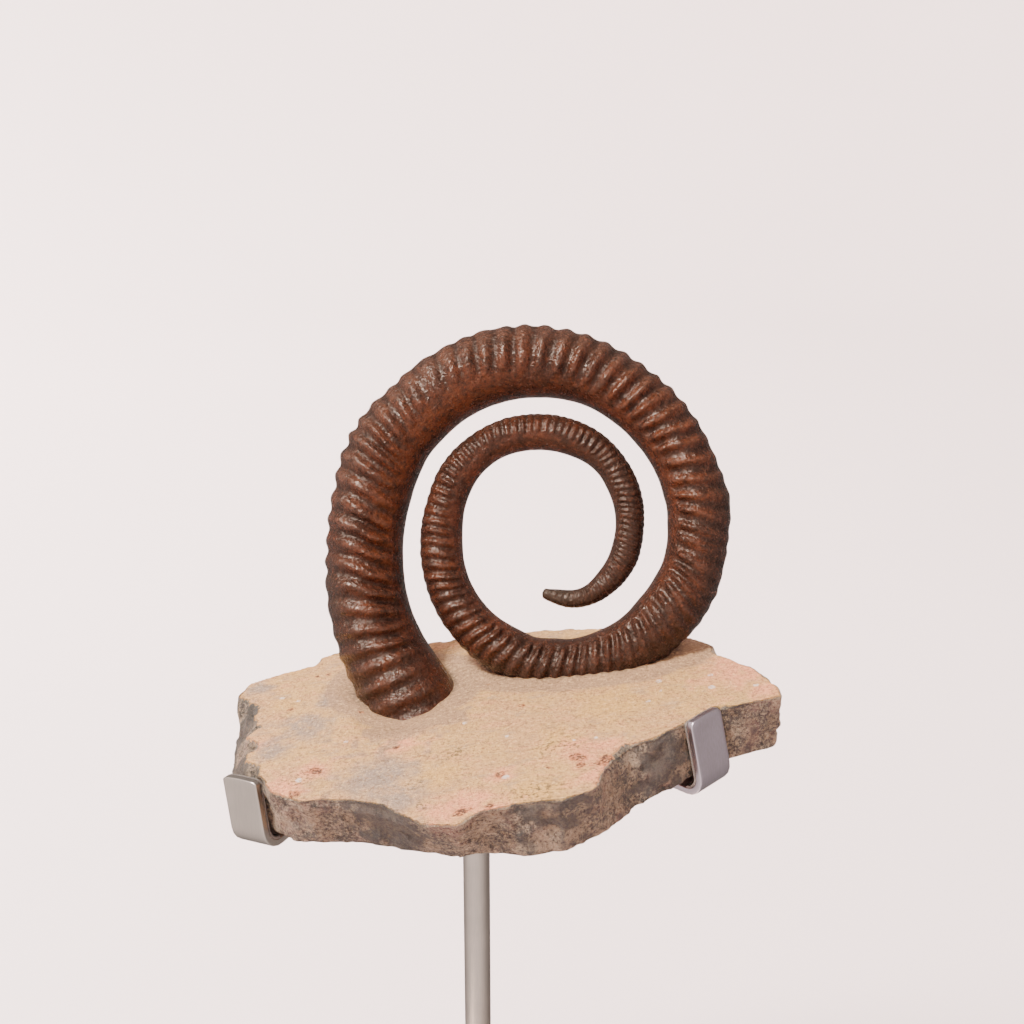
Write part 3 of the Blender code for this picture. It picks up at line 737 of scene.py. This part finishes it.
def make_strip(name, spec, material, slot, node, thickness, side, path, corner, bow, bevel):
    where, azimuth, *_ = spec
    points, faces = bent_strip(path, STRIP_WIDTH, side, corner, bow)
    stand = (
        SLAB_FRAME
        @ Matrix.Translation((*where, 0))
        @ Euler((math.pi / 2, 0, math.radians(azimuth))).to_matrix().to_4x4()
    )
    mesh = mesh_of(name, transform(points, stand), faces)
    piece = new_piece(name, mesh, material, slot, node)
    solid = piece.modifiers.new("thickness", "SOLIDIFY")
    solid.thickness = thickness
    solid.offset = 0
    rounding = piece.modifiers.new("edges", "BEVEL")
    rounding.width = bevel
    rounding.segments = 3
    rounding.limit_method = "ANGLE"
    rounding.angle_limit = math.radians(50)
    apply_modifiers(piece)
    piece.data.set_sharp_from_angle(angle=math.radians(40))
    return piece


def apply_modifiers(piece):
    depsgraph = bpy.context.evaluated_depsgraph_get()
    made = bpy.data.meshes.new_from_object(piece.evaluated_get(depsgraph))
    piece.modifiers.clear()
    old = piece.data
    piece.data = made
    bpy.data.meshes.remove(old)


def make_clamps(steels, felt):
    for name, spec in CLAMPS.items():
        steel = steels.get(name, steels["other"])
        _, _, rise, lean, arm_length, corner = spec
        path = strip_path(rise, lean, arm_length)
        make_strip(
            f"strip_{name}", spec, steel, "stand_steel", f"clamp_{name}",
            STRIP_THICKNESS, 0.0, path, corner, STRIP_BOW, STRIP_BEVEL,
        )
        lining = path[2:].copy()
        lining[-1] -= (path[-1] - path[-2]) / np.linalg.norm(path[-1] - path[-2]) * LINER_SHORTER
        beside = (STRIP_THICKNESS + GAP + LINER_THICKNESS) / 2
        make_strip(
            f"felt_{name}", spec, felt, "liner_felt", f"liner_{name}",
            LINER_THICKNESS, beside, lining, LINER_CORNER, LINER_BOW, LINER_BEVEL,
        )


# ---------------------------------------------------------------- materials

class Painter:
    """Short names for the nodes of one material."""

    def __init__(self, name):
        self.material = bpy.data.materials.new(name)
        self.material.use_nodes = True
        self.tree = self.material.node_tree
        self.shader = self.tree.nodes["Principled BSDF"]
        self.coordinates = self.add("ShaderNodeTexCoord").outputs["Object"]

    def add(self, kind, **values):
        node = self.tree.nodes.new(kind)
        for key, value in values.items():
            setattr(node, key, value)
        return node

    def put(self, socket, value):
        if isinstance(value, bpy.types.NodeSocket):
            self.tree.links.new(value, socket)
        elif isinstance(value, tuple) and len(value) == 3 and socket.type == "RGBA":
            socket.default_value = (*value, 1.0)
        else:
            socket.default_value = value

    def noise(self, size, detail=4.0, roughness=0.55, distortion=0.0, at=None):
        node = self.add("ShaderNodeTexNoise")
        self.put(node.inputs["Vector"], at or self.coordinates)
        node.inputs["Scale"].default_value = 1 / size
        node.inputs["Detail"].default_value = detail
        node.inputs["Roughness"].default_value = roughness
        node.inputs["Distortion"].default_value = distortion
        return node.outputs["Fac"]

    def stretched(self, scale, rotation=(0, 0, 0)):
        node = self.add("ShaderNodeMapping")
        self.put(node.inputs["Vector"], self.coordinates)
        node.inputs["Scale"].default_value = scale
        node.inputs["Rotation"].default_value = rotation
        return node.outputs["Vector"]

    def attribute(self, name):
        return self.add("ShaderNodeAttribute", attribute_name=name).outputs["Fac"]

    def spread(self, value, low, high, to_low=0.0, to_high=1.0):
        node = self.add("ShaderNodeMapRange", interpolation_type="SMOOTHSTEP")
        for socket, setting in zip(node.inputs[:5], (value, low, high, to_low, to_high)):
            self.put(socket, setting)
        return node.outputs["Result"]

    def math(self, operation, a, b=0.0, clamp=False):
        node = self.add("ShaderNodeMath", operation=operation, use_clamp=clamp)
        self.put(node.inputs[0], a)
        self.put(node.inputs[1], b)
        return node.outputs["Value"]

    def mix(self, share, a, b):
        node = self.add("ShaderNodeMix", data_type="RGBA")
        self.put(node.inputs["Factor"], share)
        self.put(node.inputs["A"], a)
        self.put(node.inputs["B"], b)
        return node.outputs["Result"]

    def bump(self, height, distance, strength=1.0, normal=None):
        node = self.add("ShaderNodeBump")
        self.put(node.inputs["Height"], height)
        node.inputs["Distance"].default_value = distance
        node.inputs["Strength"].default_value = strength
        if normal:
            self.put(node.inputs["Normal"], normal)
        return node.outputs["Normal"]

    def finish(self, **sockets):
        for name, value in sockets.items():
            self.put(self.shader.inputs[name.replace("_", " ")], value)
        return self.material


def shell_material():
    p = Painter("fossil_shell_look")
    rib = p.attribute("rib")
    fine = p.noise(1.7 * MM, 6, 0.75)
    grain = p.noise(0.9 * MM, 4, 0.7)
    patches = p.noise(12 * MM, 5, 0.65, 0.5)
    blotch = p.noise(5.5 * MM, 6, 0.75, 0.5)
    colour = p.mix(p.spread(patches, 0.40, 0.60), (0.026, 0.0098, 0.0060), (0.047, 0.0150, 0.0076))
    rust = p.math("MULTIPLY", p.spread(p.noise(8 * MM, 6, 0.75, 0.6), 0.52, 0.64), 0.45)
    tinted = p.math("MULTIPLY", p.attribute("rusty"), p.spread(blotch, 0.36, 0.54, 0.1, 0.75))
    colour = p.mix(p.math("ADD", rust, tinted, True), colour, (0.066, 0.0185, 0.0065))
    # painted top light, partly the shell's own paler tone, on the upper outer edge of the top whorl
    pale = p.math("MULTIPLY", p.attribute("pale"), p.spread(blotch, 0.34, 0.5, 0.4, 1.0))
    colour = p.mix(p.math("MULTIPLY", pale, 0.55), colour, (0.055, 0.026, 0.016))
    film = p.spread(p.math("ADD", p.math("MULTIPLY", rib, 0.12), blotch), 0.54, 0.70)
    colour = p.mix(p.math("MULTIPLY", film, 0.35), colour, (0.075, 0.036, 0.025))
    # darker colour on the inner whorls, and more weakly on the lower stretch of the outer whorl
    darker_turns = p.math("MULTIPLY", p.attribute("darker_turns"), p.spread(blotch, 0.34, 0.56, 0.5, 0.95))
    colour = p.mix(darker_turns, colour, (0.024, 0.011, 0.007))
    # painted shade, partly the shell's own grey-brown, on the outer side of the foot and of the right and
    # lower limbs
    outer_grey_and_shade = p.math("MULTIPLY", p.attribute("outer_grey_and_shade"), p.spread(patches, 0.38, 0.56, 0.4, 0.95))
    colour = p.mix(outer_grey_and_shade, colour, (0.024, 0.013, 0.009))
    murky = p.spread(p.noise(6.5 * MM, 6, 0.8, 0.4), 0.49, 0.60, 0.0, 0.7)
    colour = p.mix(murky, colour, (0.017, 0.0085, 0.006))
    ragged = p.math("MULTIPLY", p.math("SUBTRACT", fine, 0.5), 2.4)
    # darker rib grooves: partly the shell's own dark hollows, partly painted shade
    groove = p.spread(p.math("ADD", rib, ragged), -1.1, -0.25, 1.0, 0.0)
    dark = p.math("MULTIPLY", groove, p.spread(p.noise(5 * MM, 5, 0.7), 0.36, 0.56, 0.45, 0.9))
    colour = p.mix(dark, colour, (0.0125, 0.0056, 0.0038))
    colour = p.mix(p.spread(fine, 0.52, 0.64, 0.0, 0.75), colour, (0.012, 0.006, 0.004))
    colour = p.mix(p.spread(fine, 0.46, 0.34, 0.0, 0.5), colour, (0.098, 0.036, 0.018))
    colour = p.mix(p.spread(grain, 0.54, 0.66, 0.0, 0.6), colour, (0.011, 0.0055, 0.004))
    colour = p.mix(p.math("MULTIPLY", p.attribute("tip"), 0.8), colour, (0.025, 0.017, 0.012))
    rough = p.spread(p.noise(3.0 * MM, 5, 0.7), 0.35, 0.65, 0.14, 0.28)
    rough = p.math("ADD", rough, p.math("MULTIPLY", p.attribute("pale"), 0.08))
    rough = p.math("ADD", rough, p.math("MULTIPLY", dark, 0.12))
    wrinkle = p.noise(2.6 * MM, 3, 0.6, 0.6)
    height = p.math("ADD", wrinkle, p.math("MULTIPLY", p.noise(1.2 * MM, 2, 0.5), 0.16))
    normal = p.bump(height, 1.05 * MM)
    return p.finish(
        Base_Color=colour, Roughness=rough, Normal=normal, IOR=1.34, Specular_Tint=(1.0, 0.80, 0.68)
    )


def stone_material():
    p = Painter("matrix_stone_look")
    side = p.attribute("side")
    wide = p.noise(36 * MM, 5, 0.6, 0.4)
    mid = p.noise(9 * MM, 6, 0.75)
    fine = p.noise(1.7 * MM, 6, 0.8)
    grain = p.noise(1.1 * MM, 4, 0.75)
    flow = p.stretched((1.0, 2.6, 1.0), (0, 0, math.radians(-28)))
    drift = p.noise(16 * MM, 6, 0.7, 0.8, flow)
    top = p.mix(p.spread(wide, 0.42, 0.58), (0.43, 0.230, 0.085), (0.45, 0.250, 0.075))
    top = p.mix(p.spread(drift, 0.52, 0.62, 0.0, 0.6), top, (0.52, 0.225, 0.095))
    top = p.mix(p.spread(drift, 0.46, 0.36, 0.0, 0.65), top, (0.31, 0.195, 0.110))
    top = p.mix(p.spread(mid, 0.54, 0.66, 0.0, 0.5), top, (0.50, 0.29, 0.075))
    for name, tone in (
        ("yellow", (0.47, 0.255, 0.062)),
        ("pink", (0.60, 0.225, 0.105)),
        ("grey", (0.24, 0.172, 0.124)),
    ):
        share = p.math("MULTIPLY", p.attribute(name), p.spread(mid, 0.38, 0.52, 0.35, 1.0))
        top = p.mix(share, top, tone)
    filled = p.math("MAXIMUM", p.attribute("sand"), p.spread(p.attribute("filler"), 0.15, 0.5))
    top = p.mix(p.math("MULTIPLY", filled, 0.9), top, (0.285, 0.165, 0.086))
    pitted = p.spread(drift, 0.42, 0.60, 0.45, 1.0)
    pitted = p.math("MULTIPLY", p.spread(fine, 0.51, 0.61, 0.0, 0.85), pitted)
    top = p.mix(pitted, top, (0.14, 0.074, 0.036))
    crack = p.math("ABSOLUTE", p.math("SUBTRACT", p.noise(30 * MM, 3, 0.5, 0.5, flow), 0.5))
    crack = p.math("MULTIPLY", p.spread(crack, 0.0, 0.010, 1.0, 0.0), p.spread(mid, 0.46, 0.56))
    top = p.mix(p.math("MULTIPLY", crack, 0.55), top, (0.17, 0.090, 0.045))
    top = p.mix(p.spread(fine, 0.47, 0.36, 0.0, 0.5), top, (0.74, 0.47, 0.20))
    top = p.mix(p.spread(grain, 0.54, 0.64, 0.0, 0.8), top, (0.12, 0.065, 0.032))
    spots = p.spread(p.noise(4.5 * MM, 4, 0.7), 0.64, 0.70, 0.0, 0.85)
    top = p.mix(spots, top, (0.22, 0.085, 0.032))
    flecks = p.math("MULTIPLY", p.attribute("specks"), p.spread(p.noise(1.7 * MM, 4, 0.7), 0.53, 0.58))
    top = p.mix(p.math("MULTIPLY", flecks, 0.9), top, (0.10, 0.060, 0.022))
    rust = p.math("MULTIPLY", p.spread(p.attribute("rust"), 0.05, 0.4), p.spread(fine, 0.42, 0.50, 0.2, 1.0))
    top = p.mix(p.math("MULTIPLY", rust, 0.8), top, (0.37, 0.115, 0.042))
    core = p.math("MULTIPLY", p.spread(p.attribute("rust"), 0.25, 0.55), p.spread(grain, 0.46, 0.51))
    top = p.mix(core, top, (0.070, 0.024, 0.010))
    # painted contact shadow: darker stone next to the coil
    contact_shade_share = p.math("MULTIPLY", p.attribute("contact_shade"), p.spread(fine, 0.42, 0.56, 0.25, 0.9))
    top = p.mix(contact_shade_share, top, (0.095, 0.058, 0.034))
    ragged_white = p.math("MULTIPLY", p.attribute("crystal"), p.spread(grain, 0.40, 0.53))
    top = p.mix(p.spread(ragged_white, 0.2, 0.5, 0.0, 0.85), top, (0.54, 0.47, 0.43))
    cloudy = p.spread(p.noise(16 * MM, 6, 0.7, 0.4), 0.42, 0.58)
    rock = p.mix(cloudy, (0.115, 0.096, 0.075), (0.32, 0.228, 0.150))
    blush = p.spread(p.noise(22 * MM, 5, 0.65, 0.4), 0.54, 0.66, 0.0, 0.5)
    blush = p.math("MAXIMUM", blush, p.math("MULTIPLY", p.attribute("blush"), 0.9))
    rock = p.mix(blush, rock, (0.30, 0.150, 0.108))
    rock = p.mix(p.spread(mid, 0.52, 0.64, 0.0, 0.5), rock, (0.11, 0.088, 0.072))
    rock = p.mix(p.spread(fine, 0.51, 0.61, 0.0, 0.8), rock, (0.48, 0.33, 0.20))
    rock = p.mix(p.spread(fine, 0.48, 0.38, 0.0, 0.85), rock, (0.040, 0.032, 0.026))
    rock = p.mix(p.spread(grain, 0.53, 0.64, 0.0, 0.7), rock, (0.50, 0.37, 0.24))
    rock = p.mix(p.spread(grain, 0.46, 0.36, 0.0, 0.8), rock, (0.030, 0.023, 0.018))
    dark = p.math("MULTIPLY", p.spread(p.attribute("dark"), 0.0, 0.6), 0.75)
    rock = p.mix(dark, rock, (0.069, 0.062, 0.054))
    torn = p.math("ADD", side, p.math("MULTIPLY", p.math("SUBTRACT", fine, 0.5), 2.0))
    colour = p.mix(p.spread(torn, 0.42, 0.58), top, rock)
    hatch = p.noise(1.6 * MM, 5, 0.7, at=p.stretched((1.0, 0.22, 1.0), (0, 0, math.radians(38))))
    height = p.math("ADD", fine, p.math("MULTIPLY", grain, 0.4))
    height = p.math("ADD", height, p.math("MULTIPLY", hatch, 0.5))
    height = p.math("SUBTRACT", height, p.math("MULTIPLY", crack, 0.35))
    normal = p.bump(height, 0.9 * MM)
    coarse = p.noise(4.5 * MM, 6, 0.85, 0.5)
    normal = p.bump(p.math("MULTIPLY", coarse, side), 5.0 * MM, 1.0, normal)
    rough = p.spread(fine, 0.3, 0.7, 0.75, 0.95)
    return p.finish(Base_Color=colour, Roughness=rough, Normal=normal)


def steel_material(name, dull, bright):
    p = Painter(name)
    brushed = p.noise(0.5 * MM, 4, 0.6, at=p.stretched((1.0, 1.0, 0.06)))
    smudge = p.noise(22 * MM, 3, 0.5, 0.3)
    colour = p.mix(p.spread(smudge, 0.3, 0.7, 0.2, 0.8), dull, bright)
    colour = p.mix(p.spread(brushed, 0.35, 0.65, 0.0, 0.25), colour, (0.45, 0.39, 0.355))
    rough = p.spread(smudge, 0.3, 0.7, 0.29, 0.35)
    rough = p.math("ADD", rough, p.math("MULTIPLY", brushed, 0.08))
    normal = p.bump(brushed, 0.02 * MM, 0.4)
    return p.finish(Base_Color=colour, Roughness=rough, Normal=normal, Metallic=1.0)


def felt_material():
    p = Painter("liner_felt_look")
    fibre = p.noise(0.4 * MM, 5, 0.75, 0.8)
    colour = p.mix(p.spread(fibre, 0.35, 0.65), (0.05, 0.042, 0.036), (0.16, 0.13, 0.11))
    normal = p.bump(fibre, 0.2 * MM, 0.8)
    rough = p.spread(fibre, 0.3, 0.7, 0.85, 1.0)
    return p.finish(Base_Color=colour, Roughness=rough, Normal=normal)


def floor_material():
    p = Painter("studio_paper")
    tone = p.noise(0.6, 2, 0.4)
    colour = p.mix(p.spread(tone, 0.3, 0.7), (0.82, 0.73, 0.715), (0.84, 0.75, 0.735))
    normal = p.bump(p.noise(1.5 * MM, 3, 0.6), 0.05 * MM, 0.3)
    return p.finish(Base_Color=colour, Roughness=0.9, Normal=normal)


# ---------------------------------------------------------------- studio

def make_studio(material):
    """A round floor that curves up into a wall on every side. It doesn't show in reflections."""
    profile = [(FLOOR_RADIUS * k / FLOOR_RINGS, 0.0) for k in range(FLOOR_RINGS + 1)]
    for k in range(1, WALL_BEND_STEPS + 1):
        a = math.pi / 2 * k / WALL_BEND_STEPS
        profile.append((FLOOR_RADIUS + WALL_BEND * math.sin(a), WALL_BEND - WALL_BEND * math.cos(a)))
    profile.append((FLOOR_RADIUS + WALL_BEND, WALL_HEIGHT))
    points = [(0.0, 0.0, 0.0)]
    faces = []
    for r, z in profile[1:]:
        for k in range(STUDIO_SIDES):
            a = 2 * math.pi * k / STUDIO_SIDES
            points.append((r * math.cos(a), r * math.sin(a), z))
    for k in range(STUDIO_SIDES):
        n = (k + 1) % STUDIO_SIDES
        faces.append((0, 1 + k, 1 + n))
        for row in range(len(profile) - 2):
            base = 1 + row * STUDIO_SIDES
            above = base + STUDIO_SIDES
            faces.append((base + k, above + k, above + n, base + n))
    mesh = mesh_of("studio_paper", np.array(points), faces)
    mesh.materials.append(material)
    paper = bpy.data.objects.new("studio_paper", mesh)
    paper.visible_glossy = False
    bpy.context.scene.collection.objects.link(paper)
    return paper


def make_light(name, place, target, size, power, colour, lit, glossy):
    data = bpy.data.lights.new(name, "AREA")
    data.shape = "RECTANGLE"
    data.size, data.size_y = size
    data.energy = power
    data.color = colour
    light = bpy.data.objects.new(name, data)
    light.location = place
    light.rotation_euler = (Vector(target) - Vector(place)).to_track_quat("-Z", "Y").to_euler()
    light.visible_camera = False
    light.visible_glossy = glossy
    light.light_linking.receiver_collection = lit
    bpy.context.scene.collection.objects.link(light)


def make_lights(groups):
    """The lights, each on its own group only: a softbox high on the left is the main one."""
    for name, (*settings, lit, glossy) in LIGHTS.items():
        make_light(name, *settings, groups[lit], glossy)


def make_world():
    """A warm surrounding that is brighter on one side."""
    world = bpy.data.worlds.new("studio")
    bpy.context.scene.world = world
    world.use_nodes = True
    nodes, link = world.node_tree.nodes, world.node_tree.links.new
    background = nodes["Background"]
    background.inputs["Color"].default_value = WORLD_COLOUR
    toward = nodes.new("ShaderNodeVectorMath")
    toward.operation = "DOT_PRODUCT"
    toward.inputs[1].default_value = BRIGHT_SIDE
    glow = nodes.new("ShaderNodeMapRange")
    glow.interpolation_type = "SMOOTHSTEP"
    for socket, value in zip(glow.inputs[1:5], (*BRIGHT_RANGE, *WORLD_STRENGTH)):
        socket.default_value = value
    link(nodes.new("ShaderNodeTexCoord").outputs["Generated"], toward.inputs[0])
    link(toward.outputs["Value"], glow.inputs["Value"])
    link(glow.outputs["Result"], background.inputs["Strength"])


def group_of(name, objects):
    group = bpy.data.collections.new(name)
    for obj in objects:
        group.objects.link(obj)
    return group


def make_camera():
    data = bpy.data.cameras.new("photo_camera")
    data.sensor_width = SENSOR
    data.lens = FOCAL_PIXELS / IMAGE_SIDE * SENSOR
    data.clip_start = 0.01
    camera = bpy.data.objects.new("photo_camera", data)
    camera.location = CAMERA_PLACE
    camera.rotation_euler = (math.pi / 2 - CAMERA_PITCH, 0, 0)
    bpy.context.scene.collection.objects.link(camera)
    bpy.context.scene.camera = camera


def corners(box):
    return [list(corner) for corner in box]


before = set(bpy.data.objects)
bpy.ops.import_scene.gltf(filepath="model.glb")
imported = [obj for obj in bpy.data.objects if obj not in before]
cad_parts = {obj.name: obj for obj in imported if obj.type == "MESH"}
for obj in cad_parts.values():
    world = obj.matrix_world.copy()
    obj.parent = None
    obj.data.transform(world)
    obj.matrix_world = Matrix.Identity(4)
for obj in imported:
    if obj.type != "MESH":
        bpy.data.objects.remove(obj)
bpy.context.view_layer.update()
make_camera()
paper = make_studio(floor_material())
steel = steel_material("stand_steel_look", (0.57, 0.475, 0.42), (0.70, 0.585, 0.52))
# the right strip is the same steel as the others, tinted lilac to paint in the reflection it shows
lilac_reflection_steel = steel_material("right_strip_reflection_look", (0.66, 0.54, 0.605), (0.78, 0.64, 0.72))
make_coil(shell_material())
make_slab(stone_material())
make_clamps({"front_right": lilac_reflection_steel, "other": steel}, felt_material())
for name in ("rod", "cross_bar", "base_plate"):
    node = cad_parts[name]
    node.data.materials.clear()
    node.data.materials.append(steel)
fossil = [o for o in bpy.context.scene.objects if o.type == "MESH" and o != paper]
make_lights({"paper": group_of("lit_paper", [paper]), "fossil": group_of("lit_fossil", fossil)})
make_world()
